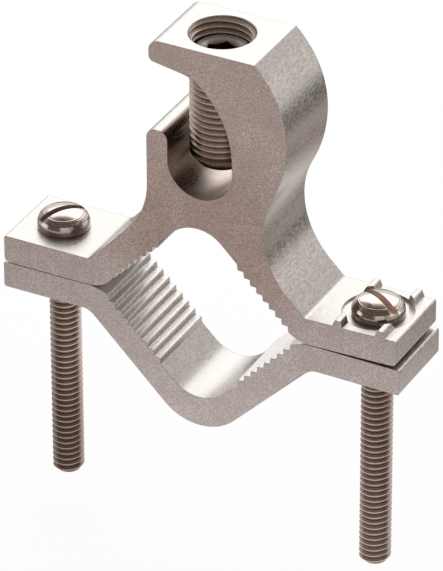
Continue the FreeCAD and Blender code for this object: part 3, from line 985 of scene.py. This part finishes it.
def soft_light(name, spot, size, power):
    """A white window of light that faces the object."""
    data = bpy.data.lights.new(name, "AREA")
    data.shape = "RECTANGLE"
    data.size, data.size_y = size
    data.energy = power
    lamp = bpy.data.objects.new(name, data)
    bpy.context.scene.collection.objects.link(lamp)
    lamp.location = spot
    lamp.rotation_mode = "QUATERNION"
    lamp.rotation_quaternion = (-Vector(spot)).to_track_quat("-Z", "Y")


def seen_directly(tree):
    """1 for camera, mirror and glass rays, 0 for light that is scattered."""
    path = tree.nodes.new("ShaderNodeLightPath").outputs
    seen = math_node(tree, "MAXIMUM", path["Is Camera Ray"], path["Is Glossy Ray"])
    return math_node(tree, "MAXIMUM", seen, path["Is Transmission Ray"])


def only_mirrored(tree, colour):
    """White, but this colour in what metal mirrors."""
    path = tree.nodes.new("ShaderNodeLightPath").outputs
    return mix_colour(tree, path["Is Glossy Ray"], WHITE, colour)


def make_world():
    """White all round, dimming in reflections towards the room in front of the object."""
    world = bpy.data.worlds.new("studio")
    world.use_nodes = True
    bpy.context.scene.world = world
    tree = world.node_tree
    sky = split(tree, tree.nodes.new("ShaderNodeTexCoord").outputs["Generated"])
    lean = math_node(tree, "MULTIPLY", sky["Y"], ROOM_LEAN_Y)
    lean = math_node(tree, "MULTIPLY_ADD", sky["X"], ROOM_LEAN_X, lean)
    room = mix_colour(tree, smooth_range(tree, lean, *ROOM_EDGE), DARK_ROOM, WHITE)
    aside = math_node(tree, "ABSOLUTE", sky["X"])
    room = tint(tree, room, smooth_range(tree, aside, *SIDE_WALL_EDGE), SIDE_WALL)
    colour = mix_colour(tree, seen_directly(tree), SCATTERED, only_mirrored(tree, room))
    link(tree, colour, tree.nodes["Background"].inputs["Color"])


def floor_colour(tree):
    """What metal mirrors of the floor: white near the object, then darker bands, then white."""
    point = object_point(tree)
    reach = distance_from(tree, point, FLOOR_CENTRE)
    behind = smooth_range(tree, split(tree, point)["Y"], *SHADED_BEHIND)
    colour = mix_colour(tree, smooth_range(tree, reach, *DARK_BAND), WHITE, DARK_FLOOR)
    colour = tint(tree, colour, smooth_range(tree, reach, *FAR_BAND), FAR_FLOOR)
    shaded = product(tree, smooth_range(tree, reach, *SHADED_BAND), behind)
    colour = tint(tree, colour, shaded, SHADED_FLOOR)
    return tint(tree, colour, smooth_range(tree, reach, *WHITE_BAND), WHITE)


def make_floor(height):
    """White sheet under the object."""
    material, tree, shader = new_material("white_floor")
    shader.inputs["Base Color"].default_value = SCATTERED + (1.0,)
    shader.inputs["Roughness"].default_value = 0.9
    glow = tree.nodes.new("ShaderNodeEmission")
    link(tree, only_mirrored(tree, floor_colour(tree)), glow.inputs["Color"])
    both = tree.nodes.new("ShaderNodeMixShader")
    link(tree, math_node(tree, "MULTIPLY", seen_directly(tree), FLOOR_GLOW), both.inputs["Fac"])
    link(tree, shader.outputs[0], both.inputs[1])
    link(tree, glow.outputs[0], both.inputs[2])
    link(tree, both.outputs[0], tree.nodes["Material Output"].inputs["Surface"])
    shape = bmesh.new()
    bmesh.ops.create_grid(shape, x_segments=1, y_segments=1, size=FLOOR_SIZE)
    bmesh.ops.translate(shape, vec=(0, 0, height), verts=shape.verts)
    to_object("floor", shape, material)


def build():
    """Dresses both jaws, and makes the screws and the thread in the bore."""
    tree = thread_tree()
    grain_nodes = grain_group()
    metal = jaw_metal(grain_nodes, edge_group())
    turned = head_steel(grain_nodes)
    rolled = rolled_steel(grain_nodes)
    # Lit and shaded copies of one slot finish: painted shade darkens the left head's slot
    lit_slot = slot_steel("lit_slot", grain_nodes, (0.58, 0.44, 0.355), (0.76, 0.605, 0.51))
    slot_painted_shade = slot_steel("slot_painted_shade", grain_nodes, (0.22, 0.165, 0.135), (0.34, 0.265, 0.22))
    dress("upper_jaw", metal)
    dress("lower_jaw", metal)
    clamp_screw("left", -CLAMP_SCREW_X, tree, turned, slot_painted_shade, rolled)
    clamp_screw("right", CLAMP_SCREW_X, tree, turned, lit_slot, rolled)
    screw_tip = set_screw(tree, hook_steel(grain_nodes), machined_steel(grain_nodes))
    bore_thread(tree, tapped_aluminium(grain_nodes), screw_tip)


build()
bpy.context.scene.view_settings.view_transform = "Standard"
make_camera()
make_world()
make_floor(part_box("lower_jaw")[0][2] - LOWER_JAW_TRAVEL - FLOOR_CLEARANCE)
soft_light("top_softbox", (-0.3, 0.75, 0.75), (1.2, 0.9), 3.5)
soft_light("front_window", (0.75, -1.2, 0.35), (1.0, 0.7), 1.3)
soft_light("left_window", (-1.1, -0.55, 0.1), (0.8, 0.7), 1.5)
soft_light("right_window", (0.95, 0.65, 0.3), (0.3, 0.45), 0.8)
